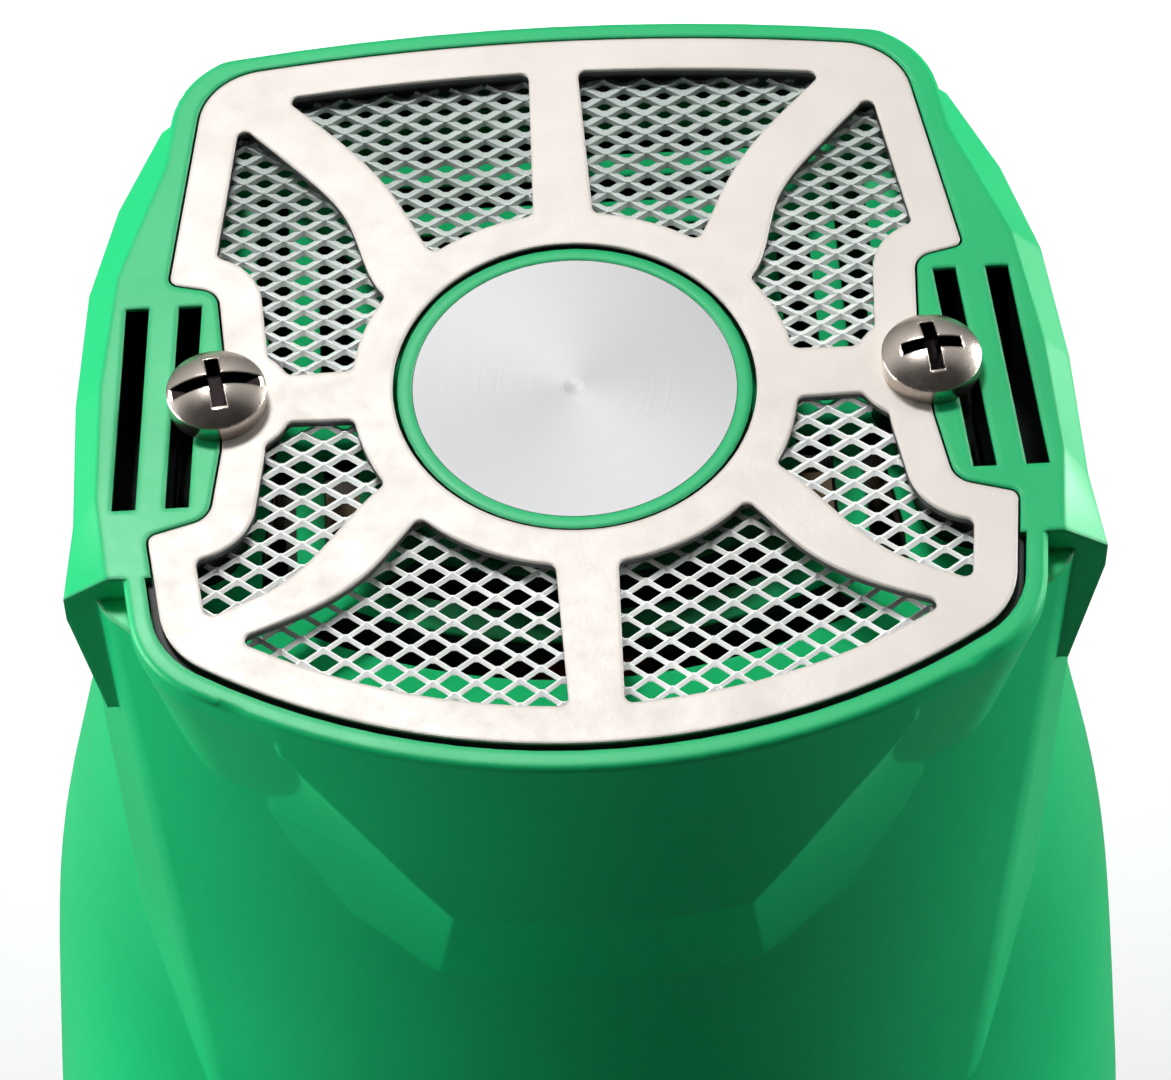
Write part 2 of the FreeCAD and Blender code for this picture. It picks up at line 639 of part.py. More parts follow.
def intake_screw(side, turn, cross_only):
    """A pan-head screw; its recess is a cross, with a long slot as well unless cross_only."""
    x, radius, high = side * dim("screw_x"), dim("screw_head"), dim("screw_head_high")
    head = Part.makeCylinder(radius, high, V(x, 0, TOP))
    dome = Part.makeSphere(radius * 1.55, V(x, 0, TOP + high - radius * 1.55))
    shank = Part.makeCylinder(dim("screw_shank"), dim("screw_long"),
                              V(x, 0, TOP - dim("screw_long")))
    screw = head.common(dome).fuse(shank)
    # length, width, depth and angle of each slot of the recess
    slots = [(4.9, 1.15, 2.1, turn), (4.9, 1.15, 2.1, turn + 90)]
    if not cross_only:
        slots.append((9.0, 1.2, 1.5, turn))
    for length, width, deep, angle in slots:
        slot = Part.makeBox(length, width, deep, V(-length / 2, -width / 2, 0))
        slot.rotate(V(), UP, angle)
        slot.translate(V(x, 0, TOP + high - deep + 0.2))
        screw = screw.cut(slot)
    return screw


shaped("motor_housing", motor_housing())
shaped("filter_frame", filter_frame())
shaped("filter_seal", filter_seal())
shaped("filter_mesh", filter_mesh())
shaped("filter_screw_left", intake_screw(-1, 8, cross_only=False))
shaped("filter_screw_right", intake_screw(1, 6, cross_only=True))
node("badge_disc", cylinder("badge", "dims.badge_radius", "dims.badge_thick",
                            (0, 0, "dims.top_z - 0.3 - dims.badge_thick")))

# ---------------------------------------------------------------- motor

node("stator_core", tube("stator", "dims.stator_radius", "dims.stator_bore",
                         "dims.stator_long", (0, 0, "dims.stator_low")))
coil_low = tube("coil_low", "dims.stator_radius - 2.5", "dims.stator_bore + 1.5",
                "dims.coil_turn", (0, 0, "dims.stator_low - dims.coil_turn"))
coil_high = tube("coil_high", "dims.stator_radius - 2.5", "dims.stator_bore + 1.5",
                 "dims.coil_turn - 1", (0, 0, "dims.stator_low + dims.stator_long"))
node("field_coils", group("coils", coil_low, coil_high))
node("armature_core", tube("armature", "dims.armature_radius", "dims.shaft_mid_radius",
                           "dims.stator_long", (0, 0, "dims.stator_low")))
turns_low = tube("turns_low", "dims.armature_radius - 1", "dims.shaft_mid_radius",
                 "dims.coil_turn", (0, 0, "dims.stator_low - dims.coil_turn"))
turns_high = tube("turns_high", "dims.armature_radius - 2", "dims.shaft_mid_radius",
                  "dims.coil_turn", (0, 0, "dims.stator_low + dims.stator_long"))
node("armature_windings", group("turns", turns_low, turns_high))
node("commutator", tube("bars", "dims.commutator_radius", "dims.shaft_mid_radius",
                        "dims.commutator_long", (0, 0, "dims.commutator_low")))
shaft_steps = [
    cylinder("shaft_top_end", "dims.shaft_radius - dims.running_gap", "dims.shaft_top - 131",
             (0, 0, 131)),
    cylinder("shaft_middle", "dims.shaft_mid_radius", "131.5 - 57", (0, 0, 57)),
    cylinder("shaft_journal", "dims.journal_radius - dims.running_gap", 12, (0, 0, 46)),
    cylinder("shaft_low_end", "dims.shaft_mid_radius", "46.5 - 26", (0, 0, 26)),
]
node("rotor_shaft", fuse("shaft", *shaft_steps))
node("upper_bearing", tube("bearing_top", "dims.upper_bearing_radius", "dims.shaft_radius",
                           "dims.upper_bearing_long", (0, 0, "dims.upper_bearing_low")))
node("lower_bearing", tube("bearing_low", "dims.lower_bearing_radius", "dims.journal_radius",
                           "dims.bearing_long", (0, 0, "dims.lower_bearing_low")))


def fan(low, high, hub, disc, radius, blades, lean, bore):
    """A radial fan: a hub and a disc with leaning blades on top of it."""
    wheel = Part.makeCylinder(hub, high - low, V(0, 0, low))
    wheel = wheel.fuse(Part.makeCylinder(radius, disc, V(0, 0, low)))
    for k in range(blades):
        blade = Part.makeBox(radius - hub - 1.5, 1.4, high - low, V(hub + 1.0, -0.7, low))
        blade.rotate(V(hub + 1.0, 0, 0), UP, lean)
        blade.rotate(V(), UP, 360.0 * k / blades)
        wheel = wheel.fuse(blade.common(Part.makeCylinder(radius, high - low, V(0, 0, low))))
    return wheel.cut(Part.makeCylinder(bore, high - low + 2, V(0, 0, low - 1)))


def bearing_bracket():
    """The cast bracket for the lower bearing, with four arms out to the housing's posts."""
    low, thick, arms = dim("bracket_low"), dim("bracket_thick"), 8
    hub = disc(17.5, 12.0, V(0, 0, low - 5.0))
    ring = disc(31.0, thick, V(0, 0, low)).cut(disc(26.5, thick, V(0, 0, low)))
    bracket = hub.fuse(ring)
    for k in range(arms):
        arm = Part.makeBox(13.0, 4.0, thick, V(15.5, -2.0, low))
        arm.rotate(V(), UP, 360.0 * k / arms)
        bracket = bracket.fuse(arm)
    for angle in POST_ANGLES:
        at = around(angle, dim("post_circle"), low)
        bracket = bracket.fuse(disc(4.8, thick, at))
        bracket = bracket.cut(disc(1.6, thick + 2.0, at - UP))
    seat = dim("lower_bearing_radius") + 0.02
    bracket = bracket.cut(disc(seat, 20.0, V(0, 0, dim("lower_bearing_low") - 0.1)))
    return bracket.cut(disc(8.0, 20.0, V(0, 0, 40.0)))


def bracket_screws():
    """The four screws that hold the bearing bracket."""
    head_high, slot_long, slot_wide = 2.2, 4.0, 0.8
    screws = []
    for angle in POST_ANGLES:
        at = around(angle, dim("post_circle"), dim("bracket_low"))
        screw = disc(1.5, 14.0, at).fuse(disc(3.0, head_high, at - UP * head_high))
        for x, y in ((slot_long, slot_wide), (slot_wide, slot_long)):
            corner = at + V(-x / 2, -y / 2, -head_high - 0.1)
            screw = screw.cut(Part.makeBox(x, y, 1.0, corner))
        screws.append(screw)
    return Part.makeCompound(screws)


shaped("cooling_fan", fan(dim("fan_low"), dim("fan_low") + dim("fan_long"), 8.0, 1.6,
                          dim("fan_radius") - 1.0, 11, 28, dim("shaft_mid_radius")))
shaped("dust_fan", fan(32.5, dim("impeller_high"), 8.0, 1.6, dim("impeller_radius"), 8, 32,
                       dim("shaft_mid_radius")))
shaped("bearing_bracket", bearing_bracket())
shaped("bracket_screws", bracket_screws())

node("brush_ring", cut("brush_plate", tube("brush_disc", 29, 13, 2, (0, 0, 118)),
                       centred_box("lead_gap", 10, 6, 4, 0, 27, 117)))
BRUSH_START = "dims.commutator_radius + 0.08"
BRUSH_ROOM = "(dims.brush_wide + 0.1)"
for name, holder_x, tunnel_x, brush_x in (
        ("right", 11.5, 10.5, BRUSH_START),
        ("left", -23.5, -24.5, f"-({BRUSH_START}) - dims.brush_long")):
    holder = box(f"holder_{name}", 12, "dims.brush_wide + 2.4", 9,
                 (holder_x, "-(dims.brush_wide + 2.4) / 2", "dims.brush_z - 4.5"))
    tunnel = box(f"tunnel_{name}", 14, BRUSH_ROOM, BRUSH_ROOM,
                 (tunnel_x, f"-{BRUSH_ROOM} / 2", f"dims.brush_z - {BRUSH_ROOM} / 2"))
    node(f"brush_holder_{name}", cut(f"brush_box_{name}", holder, tunnel))
    node(f"carbon_brush_{name}",
         box(f"brush_{name}", "dims.brush_long", "dims.brush_wide", "dims.brush_wide",
             (brush_x, "-dims.brush_wide / 2", "dims.brush_z - dims.brush_wide / 2")))

# ---------------------------------------------------------------- drive and pad


def eccentric_hub():
    """The hub under the motor with the offset pin and a half-round balance weight."""
    orbit, low, high = dim("orbit"), dim("hub_low"), dim("hub_high")
    hub = Part.makeCylinder(9.0, high - low, V(0, 0, low))
    weight = Part.makeCylinder(19.0, high - low - 2.0, V(0, 0, low + 1.0), UP, 150.0)
    weight.rotate(V(), UP, 105.0)
    pin = Part.makeCylinder(dim("pin_radius") - dim("running_gap"), low - dim("pin_low") + 0.5,
                            V(orbit, 0, dim("pin_low")))
    shoulder = Part.makeCylinder(7.6, 1.5, V(orbit, 0, low - 1.5))
    hub = hub.fuse(weight).fuse(pin).fuse(shoulder)
    return hub.cut(Part.makeCylinder(dim("shaft_mid_radius"), 10.0, V(0, 0, 26.0))).cut(
        Part.makeCylinder(2.5, 9.0, V(orbit, 0, dim("pin_low") - 1)))


def pad_screw():
    """The socket screw and washer that hold the pad on the offset pin."""
    orbit = dim("orbit")
    head = Part.makeCylinder(4.2, 2.2, V(orbit, 0, 8.9))
    washer = Part.makeCylinder(7.4, 1.4, V(orbit, 0, 11.1))
    shank = Part.makeCylinder(2.5, 8.0, V(orbit, 0, 12.4))
    return head.fuse(washer).fuse(shank).cut(Part.makeCylinder(1.6, 1.6, V(orbit, 0, 8.8)))


POSTS = [(dim("post_x"), dim("post_rear_y")), (-dim("post_x"), dim("post_rear_y")),
         (dim("post_nose_x"), dim("post_nose_y")), (-dim("post_nose_x"), dim("post_nose_y"))]
DUST_HOLES = [(26, -4), (-26, -4), (21, -34), (-21, -34), (0, -62), (0, 34), (15, 29), (-15, 29)]


def drilled(shape, radius, low, high):
    """A pad part with its dust holes."""
    for x, y in DUST_HOLES:
        shape = shape.cut(Part.makeCylinder(radius, high - low + 2, V(x, y, low - 1)))
    return shape


def on_pin(shape):
    """Moves a pad part that was made about the motor axis onto the offset pin's axis."""
    shape.translate(V(dim("orbit"), 0, 0))
    return shape


def pad_carrier():
    """The stiff platen with its bearing boss and the sockets for the rubber posts."""
    carrier = delta_plate(CARRIER_LOW, CARRIER_TOP, 1.5)
    carrier = carrier.fuse(Part.makeCylinder(17.0, 9.0, V(0, 0, CARRIER_TOP - 0.5)))
    for x, y in POSTS:
        carrier = carrier.fuse(Part.makeCylinder(8.4, 5.0, V(x, y, CARRIER_TOP - 0.5)))
    for x, y in POSTS:
        carrier = carrier.cut(Part.makeCylinder(6.3, 7.0, V(x, y, CARRIER_TOP)))
    carrier = carrier.cut(Part.makeCylinder(dim("lower_bearing_radius") + 0.01, 20.0, V(0, 0, 12.7)))
    carrier = carrier.cut(Part.makeCylinder(9.5, 20.0))
    return on_pin(drilled(carrier, 4.0, CARRIER_LOW, CARRIER_TOP))


def pad_layer(low, thick, inset, hole):
    """One flat layer of the pad, with its dust holes."""
    return on_pin(drilled(delta_plate(low, low + thick, inset), hole, low, low + thick))


def pad_posts():
    """The rubber posts that let the pad orbit without turning."""
    posts = [Part.makeCylinder(dim("post_radius"), 16.2, V(x, y, 12.8)) for x, y in POSTS]
    return Part.makeCompound(posts)


def base_housing():
    """The skirt round the pad drive, its deck and the lip inside the motor housing."""
    low, high = dim("skirt_z"), dim("split_z")
    half, rear, nose = dim("base_half_width"), dim("base_rear"), dim("base_nose")

    def ring(z, inset):
        return body_wire(z, half - inset, rear - inset, nose + 1.6 * inset, REAR_FULL, NOSE_FULL)

    outer = Part.makeLoft([ring(low, 2.4), ring(low + 6, 0.8), ring(high, 0.0)], True)
    inner = Part.makeLoft([ring(low - 1, 5.0), ring(low + 6, 3.6), ring(29.0, 3.0)], True)
    base = outer.cut(inner)
    base = base.cut(Part.makeCylinder(22.0, 10.0, V(0, 0, 26.0)))
    lip = prism(Part.Face(ring(high, 5.8)), high - 3.0, high + 2.0)
    base = base.fuse(lip.cut(prism(Part.Face(ring(high, 7.6)), high - 4.5, high + 3.0)))
    for x, y in POSTS:
        base = base.fuse(Part.makeCylinder(7.0, 4.0, V(x, y, 26.5)))
        base = base.cut(Part.makeCylinder(dim("post_radius"), 2.6, V(x, y, 26.4)))
    return base


def dust_volute():
    """The wall round the dust fan, open at the back towards the outlet duct."""
    low, outlet = dim("split_z") + 0.2, 22.0
    wall = disc(29.5, 11.5, V(0, 0, low)).cut(disc(27.5, 10.0, V(0, 0, low)))
    wall = wall.cut(disc(9.0, 30.0, V(0, 0, 30.0)))
    return wall.cut(Part.makeBox(outlet, 20.0, 9.6, V(-outlet / 2, 20.0, low)))


shaped("eccentric_hub", eccentric_hub())
shaped("pad_screw", pad_screw())
node("pad_bearing", tube("bearing_pad", "dims.lower_bearing_radius", "dims.pin_radius",
                         "dims.bearing_long", ("dims.orbit", 0, 12.8)))
shaped("pad_carrier", pad_carrier())
shaped("pad_foam", pad_layer(dim("sheet_thick") + dim("hook_thick"), dim("foam_thick"), 0.6, 4.0))
shaped("hook_layer", pad_layer(dim("sheet_thick"), dim("hook_thick"), 0.3, 4.2))
shaped("abrasive_sheet", pad_layer(0.0, dim("sheet_thick"), 0.0, 4.5))
shaped("pad_posts", pad_posts())
shaped("base_housing", base_housing())
shaped("dust_volute", dust_volute())

# ---------------------------------------------------------------- rear controls and dust box


def dust_port():
    """The outlet duct, with a collar for the collector."""
    radius, wall, z = dim("port_radius"), dim("port_wall"), dim("port_z")
    duct = disc(radius, 30.0, V(0, 36.0, z), BACKWARDS)
    collar = disc(radius + 2.2, 3.0, V(0, 53.2, z), BACKWARDS)
    bore = disc(radius - wall, 40.0, V(0, 30.0, z), BACKWARDS)
    return duct.fuse(collar).cut(bore)


def rounded_block(length, width, height, radius, at):
    """A block with all its edges rounded, from the middle of its front bottom edge."""
    block = Part.makeBox(length, width, height, V(-length / 2, 0, 0) + at)
    return block.makeFillet(radius, block.Edges)


def dust_box():
    """The slip-on collector: a rounded bin, open underneath, with a socket for the duct."""
    z = dim("port_z")
    outer = rounded_block(52.0, 44.0, 40.0, 7.0, V(0, 62.0, z - 22.0))
    inner = rounded_block(47.6, 39.6, 44.0, 5.0, V(0, 64.2, z - 28.2))
    socket = disc(dim("port_radius") + 2.4, 12.0, V(0, 56.6, z), BACKWARDS)
    bin_shape = outer.cut(inner).fuse(socket)
    bin_shape = bin_shape.cut(Part.makeBox(60, 60, 3.0, V(-30, 50, z - 23.0)))
    return bin_shape.cut(disc(dim("port_radius") + 0.2, 26.0, V(0, 50.0, z), BACKWARDS))


def dust_box_lid():
    """The collector's floor, which lifts out to empty it."""
    z = dim("port_z")
    plate = rounded_block(52.0, 44.0, 30.0, 7.0, V(0, 62.0, z - 24.0))
    plate = plate.common(Part.makeBox(60, 60, 4.0, V(-30, 50, z - 24.0)))
    rib = Part.makeBox(40.0, 2.0, 3.0, V(-20.0, 70.0, z - 20.0))
    rim = Part.makeBox(44.0, 2.0, 3.0, V(-22.0, 95.0, z - 20.0))
    return plate.fuse(rib).fuse(rim)


def dust_filter():
    """A folded paper filter across the back of the bin."""
    z = dim("port_z")
    front, deep, count = 86.5, 6.0, 11
    step = 42.0 / count
    points = []
    for k in range(count + 1):
        points.append((-21.0 + k * step, front + (deep if k % 2 else 0.0)))
    back = [(x, y + 1.2) for x, y in reversed(points)]
    face = polygon_face(points + back)
    return prism(face, z - 16.5, z + 13.0)


def switch_rocker():
    """The rocker with its scooped face, at its off position."""
    z = dim("switch_z")
    block = Part.makeBox(11.4, 5.6, 16.2, V(-5.7, 37.4, z - 8.1))
    scoop = Part.makeCylinder(26.0, 30.0, V(-15.0, 67.3, z), V(1, 0, 0))
    block = block.cut(scoop).cut(Part.makeCylinder(1.56, 30.0, V(-15.0, 38.8, z), V(1, 0, 0)))
    block.rotate(V(0, 38.8, z), V(1, 0, 0), -8.0)
    return block


def switch_body():
    """The switch's case, a snap-in block with a bezel, a well for the rocker and its pin."""
    z = dim("switch_z")
    case = Part.makeBox(13.0, 11.0, 19.2, V(-6.5, 30.3, z - 9.6))
    bezel = Part.makeBox(17.0, 1.6, 23.0, V(-8.5, 40.9, z - 11.5))
    case = case.fuse(bezel).cut(Part.makeBox(11.8, 9.0, 18.0, V(-5.9, 34.4, z - 9.0)))
    return case.fuse(Part.makeCylinder(1.5, 12.4, V(-6.2, 38.8, z), V(1, 0, 0)))


def speed_dial():
    """A thumbwheel with a grooved edge."""
    wide, radius = dim("dial_wide"), dim("dial_radius")
    centre = V(-wide / 2, dim("dial_y"), dim("dial_z"))
    wheel = Part.makeCylinder(radius, wide, centre, V(1, 0, 0))
    grooves = 24
    for k in range(grooves):
        turn = 2 * math.pi * k / grooves
        at = V(centre.x - 1, centre.y + radius * math.cos(turn), centre.z + radius * math.sin(turn))
        wheel = wheel.cut(Part.makeCylinder(0.45, wide + 2, at, V(1, 0, 0)))
    return wheel.cut(Part.makeCylinder(1.55, wide + 2, centre - V(1, 0, 0), V(1, 0, 0)))


def dial_yoke():
    """The bracket and pin that carry the thumbwheel."""
    y, z, wide = dim("dial_y"), dim("dial_z"), dim("dial_wide")
    yoke = Part.makeBox(wide + 7.0, 3.0, 14.0, V(-wide / 2 - 3.5, 30.4, z - 7.0))
    for x in (-wide / 2 - 3.5, wide / 2 + 1.5):
        yoke = yoke.fuse(Part.makeBox(2.0, 9.0, 6.0, V(x, 30.4, z - 3.0)))
    yoke = yoke.cut(Part.makeCylinder(dim("dial_radius") + 0.6, wide + 1, V(-wide / 2 - 0.5, y, z),
                                      V(1, 0, 0)))
    return yoke.fuse(Part.makeCylinder(1.5, wide + 6.0, V(-wide / 2 - 3.0, y, z), V(1, 0, 0)))


def cord_gland():
    """The ribbed strain relief in the back wall, with its bore for the cord."""
    z, outer = dim("gland_z"), dim("gland_radius")
    first_rib, rib_step, groove_wide = 53.0, 3.6, 1.4
    gland = disc(outer, 10.0, V(0, 41.0, z), BACKWARDS)
    gland = gland.fuse(disc(outer + 2.0, 2.2, V(0, 47.6, z), BACKWARDS))
    gland = gland.fuse(Part.makeCone(outer, outer - 1.4, 26.0, V(0, 49.0, z), BACKWARDS))
    for k in range(6):
        at = V(0, first_rib + rib_step * k, z)
        groove = disc(9.0, groove_wide, at, BACKWARDS).cut(
            disc(outer - 1.5 - 0.12 * k, groove_wide, at, BACKWARDS))
        gland = gland.cut(groove)
    return gland.cut(disc(dim("cord_radius"), 50.0, V(0, 35.0, z), BACKWARDS))


shaped("dust_port", dust_port())
shaped("dust_box", dust_box())
shaped("dust_box_lid", dust_box_lid())
shaped("dust_filter", dust_filter())
shaped("switch_body", switch_body())
shaped("switch_rocker", switch_rocker())
shaped("speed_dial", speed_dial())
shaped("dial_yoke", dial_yoke())
shaped("cord_gland", cord_gland())
node("cord_clamp", cut("clamp", centred_box("clamp_bar", 20, 6, 5, 0, 36, "dims.gland_z - 8.6"),
                       cylinder("clamp_hole", 1.4, 8, (7, 36, "dims.gland_z - 9.6"))))
node("control_pcb", centred_box("board", 14, 1.4, 22, 15, 31.4, 92))

# ---------------------------------------------------------------- export

doc.recompute()
os.makedirs("parts", exist_ok=True)
for obj in doc.Objects:
    if "Invalid" in obj.State or "Error" in obj.State:
        raise RuntimeError(f"{obj.Name} is {obj.State}")
for label, obj in NODES.items():
    if obj.Shape.isNull() or not obj.Shape.isValid():
        raise RuntimeError(f"{label} has no valid shape")
    obj.Shape.exportStep(f"parts/{label}.step")
    box_of = obj.Shape.BoundBox
    print(f"{label}: {len(obj.Shape.Solids)} solid(s), {obj.Shape.Volume:.0f} mm3,"
          f" z {box_of.ZMin:.1f} to {box_of.ZMax:.1f}")
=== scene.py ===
import json
import math

import bmesh
import bpy
from mathutils import Matrix, Vector


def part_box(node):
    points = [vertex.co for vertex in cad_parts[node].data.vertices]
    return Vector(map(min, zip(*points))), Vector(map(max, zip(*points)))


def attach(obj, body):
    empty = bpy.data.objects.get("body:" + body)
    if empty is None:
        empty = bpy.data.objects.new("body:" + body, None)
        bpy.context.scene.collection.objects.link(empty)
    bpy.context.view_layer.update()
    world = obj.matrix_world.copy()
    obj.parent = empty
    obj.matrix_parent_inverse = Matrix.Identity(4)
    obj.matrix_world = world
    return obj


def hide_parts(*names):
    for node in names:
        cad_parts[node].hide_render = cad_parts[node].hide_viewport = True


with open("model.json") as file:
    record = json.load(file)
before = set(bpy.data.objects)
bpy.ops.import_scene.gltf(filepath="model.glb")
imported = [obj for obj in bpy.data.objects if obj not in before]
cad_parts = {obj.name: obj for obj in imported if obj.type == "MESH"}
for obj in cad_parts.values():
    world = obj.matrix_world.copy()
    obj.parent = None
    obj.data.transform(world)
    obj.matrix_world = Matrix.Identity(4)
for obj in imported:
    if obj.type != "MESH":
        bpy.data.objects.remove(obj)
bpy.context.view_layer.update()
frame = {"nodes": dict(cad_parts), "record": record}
nodes = frame["nodes"]
MM = 0.001

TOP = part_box("filter_frame")[1][2]       # outer face of the intake frame
SCREW_X = 28.6 * MM                      # how far each intake screw stands from the middle
DOMED_HEAD_RADIUS, DOMED_HEAD_HIGH = 4.0 * MM, 3.0 * MM

# ---------------------------------------------------------------- building blocks of materials


def material(name, base, roughness, metallic=0.0, specular=0.5):
    """A Principled material with its nodes, ready for detail."""
    made = bpy.data.materials.new(name)
    made.use_nodes = True
    tree = made.node_tree
    shader = tree.nodes["Principled BSDF"]
    shader.inputs["Base Color"].default_value = (*base, 1.0)
    shader.inputs["Roughness"].default_value = roughness
    shader.inputs["Metallic"].default_value = metallic
    shader.inputs["Specular IOR Level"].default_value = specular
    return made, tree, shader


def add(tree, kind, **inputs):
    """A node with its input sockets set; spaces in socket names are written as _."""
    made = tree.nodes.new(kind)
    for key, value in inputs.items():
        made.inputs[key.replace("_", " ")].default_value = value
    return made


def coords(tree, scale=(1, 1, 1)):
    """Object coordinates, stretched by scale."""
    source = tree.nodes.new("ShaderNodeTexCoord")
    mapping = add(tree, "ShaderNodeMapping", Scale=scale)
    tree.links.new(source.outputs["Object"], mapping.inputs["Vector"])
    return mapping.outputs["Vector"]


def axes(tree, vector):
    """The x, y and z of a vector."""
    split = tree.nodes.new("ShaderNodeSeparateXYZ")
    tree.links.new(vector, split.inputs["Vector"])
    return [split.outputs[axis] for axis in "XYZ"]


def vector_math(tree, operation, *vectors):
    """The value of a vector math node on one or two vectors."""
    made = tree.nodes.new("ShaderNodeVectorMath")
    made.operation = operation
    for vector, socket in zip(vectors, made.inputs):
        tree.links.new(vector, socket)
    return made.outputs["Value"]


def from_axis(tree):
    """Distance from the motor's axis."""
    return vector_math(tree, "LENGTH", coords(tree, (1, 1, 0)))


def noise(tree, vector, scale, detail=4.0, rough=0.55):
    """Noise round 0.5; the larger its scale, the finer it is."""
    made = add(tree, "ShaderNodeTexNoise", Scale=scale, Detail=detail, Roughness=rough)
    tree.links.new(vector, made.inputs["Vector"])
    return made.outputs["Fac"]


def spread(tree, value, low, high, start=0.3, end=0.7):
    """Maps value from start..end onto low..high."""
    made = add(tree, "ShaderNodeMapRange", From_Min=start, From_Max=end, To_Min=low, To_Max=high)
    tree.links.new(value, made.inputs["Value"])
    return made.outputs["Result"]


def math_node(tree, operation, first, second=0.0):
    """A math node on two values, each a socket or a number."""
    made = tree.nodes.new("ShaderNodeMath")
    made.operation = operation
    for value, socket in zip((first, second), made.inputs):
        if isinstance(value, (int, float)):
            socket.default_value = value
        else:
            tree.links.new(value, socket)
    return made.outputs["Value"]


def product(tree, *values):
    """All the values multiplied together."""
    total = values[0]
    for value in values[1:]:
        total = math_node(tree, "MULTIPLY", total, value)
    return total


def between(tree, value, limits):
    """1 where value lies between the two limits."""
    low, high = limits
    above = math_node(tree, "GREATER_THAN", value, low)
    return product(tree, above, math_node(tree, "LESS_THAN", value, high))


def power_sum(tree, *values, power=2.0):
    """The sum of the values' powers."""
    total = math_node(tree, "POWER", values[0], power)
    for value in values[1:]:
        total = math_node(tree, "ADD", total, math_node(tree, "POWER", value, power))
    return total


def in_oval(tree, x, y, half_wide, half_long, power=2.0):
    """1 inside an oval round the origin; a higher power squares it up."""
    across = math_node(tree, "MULTIPLY", x, 1 / half_wide)
    along = math_node(tree, "MULTIPLY", y, 1 / half_long)
    return math_node(tree, "LESS_THAN", power_sum(tree, across, along, power=power), 1.0)


def tint(tree, shader, value, dark, light):
    """Base colour that wanders between two near shades."""
    made = tree.nodes.new("ShaderNodeMix")
    made.data_type = "RGBA"
    made.inputs["A"].default_value = (*dark, 1)
    made.inputs["B"].default_value = (*light, 1)
    tree.links.new(value, made.inputs["Factor"])
    tree.links.new(made.outputs["Result"], shader.inputs["Base Color"])


def mixed(tree, shader, factor, colour):
    """Lays a second colour over the shader's base colour by factor."""
    under = shader.inputs["Base Color"].links[0].from_socket
    over = tree.nodes.new("ShaderNodeMix")
    over.data_type = "RGBA"
    over.inputs["B"].default_value = (*colour, 1)
    tree.links.new(factor, over.inputs["Factor"])
    tree.links.new(under, over.inputs["A"])
    tree.links.new(over.outputs["Result"], shader.inputs["Base Color"])


def softened(tree, radius):
    """The normal of a surface whose edges are broken by radius."""
    soft = tree.nodes.new("ShaderNodeBevel")
    soft.samples = 4
    soft.inputs["Radius"].default_value = radius
    return soft.outputs["Normal"]


def bumps(tree, shader, layers, edge=0.0):
    """Stacks bump layers of (height, strength, distance in metres) on the shader's normal, over
    edges that are broken by a small radius."""
    normal = softened(tree, edge) if edge else None
    for height, strength, distance in layers:
        made = add(tree, "ShaderNodeBump", Strength=strength, Distance=distance)
        tree.links.new(height, made.inputs["Height"])
        if normal is not None:
            tree.links.new(normal, made.inputs["Normal"])
        normal = made.outputs["Normal"]
    tree.links.new(normal, shader.inputs["Normal"])


def edge_wear(tree):
    """High where the surface bends sharply, broken up by noise: rubbed edges."""
    geometry = tree.nodes.new("ShaderNodeNewGeometry")
    alike = vector_math(tree, "DOT_PRODUCT", softened(tree, 0.6 * MM), geometry.outputs["Normal"])
    bent = spread(tree, alike, 1.0, 0.0, start=0.80, end=0.98)
    patches = noise(tree, coords(tree), scale=700.0, detail=5.0)
    return product(tree, bent, spread(tree, patches, 0.0, 1.0, start=0.50, end=0.66))


def polished(tree, shader, value, low, high):
    """Roughness that wanders from low to high with the value."""
    tree.links.new(spread(tree, value, low, high), shader.inputs["Roughness"])


def plastic(name, dark, light, roughness, grain=1400.0, grain_high=0.03 * MM, edge=0.5 * MM):
    """Moulded plastic: fine spark-eroded grain, slow colour drift and faint handling marks."""
    marks = 0.05
    made, tree, shader = material(name, light, roughness)
    place = coords(tree)
    drift = noise(tree, place, scale=22.0, detail=2.0)
    tint(tree, shader, spread(tree, drift, 0.0, 1.0), dark, light)
    smear = noise(tree, place, scale=60.0, detail=5.0, rough=0.7)
    polished(tree, shader, smear, roughness - marks, roughness + marks)
    fine = noise(tree, place, grain, detail=3.0, rough=0.6)
    slow = noise(tree, place, scale=45.0, detail=2.0)
    bumps(tree, shader, [(slow, 0.25, 0.12 * MM), (fine, 0.35, grain_high)], edge)
    return made


def metal(name, base, roughness, grain=2200.0, stretch=(1, 1, 1), grain_high=0.02 * MM,
          edge=0.3 * MM):
    """Metal with fine tool or blast marks and uneven polish."""
    made, tree, shader = material(name, base, roughness, metallic=1.0)
    smoother, rougher = 0.05, 0.07
    duller = [0.86 * part for part in base]
    drift = noise(tree, coords(tree), scale=70.0)
    tint(tree, shader, spread(tree, drift, 0.0, 1.0), duller, base)
    smear = noise(tree, coords(tree), scale=180.0, detail=6.0, rough=0.65)
    polished(tree, shader, smear, roughness - smoother, roughness + rougher)
    fine = noise(tree, coords(tree, stretch), grain, rough=0.7)
    bumps(tree, shader, [(fine, 0.4, grain_high)], edge)
    return made


# ---------------------------------------------------------------- the head's own materials

GREEN_DARK, GREEN = (0.003, 0.335, 0.108), (0.004, 0.390, 0.128)
GREEN_RUBBED = (0.05, 0.45, 0.20)
GREEN_PAINTED_SHADE = (0.001, 0.060, 0.018)      # painted shade under the mesh: the mesh's and the ring's shadow on the grille
SHADE = (0.0015, 0.0020, 0.0018)         # painted shade for the dark inside of the shell
# painted shade on the side walls of the frame plate
WALL_SHADE = (0.012, 0.014, 0.012)
# painted shade in the screw heads' recesses
SCREW_RECESS_SHADE = (0.004, 0.003, 0.003)
# painted shade for the strands towards the back of the mesh
REAR_MESH_SHADE = (0.27, 0.315, 0.290)


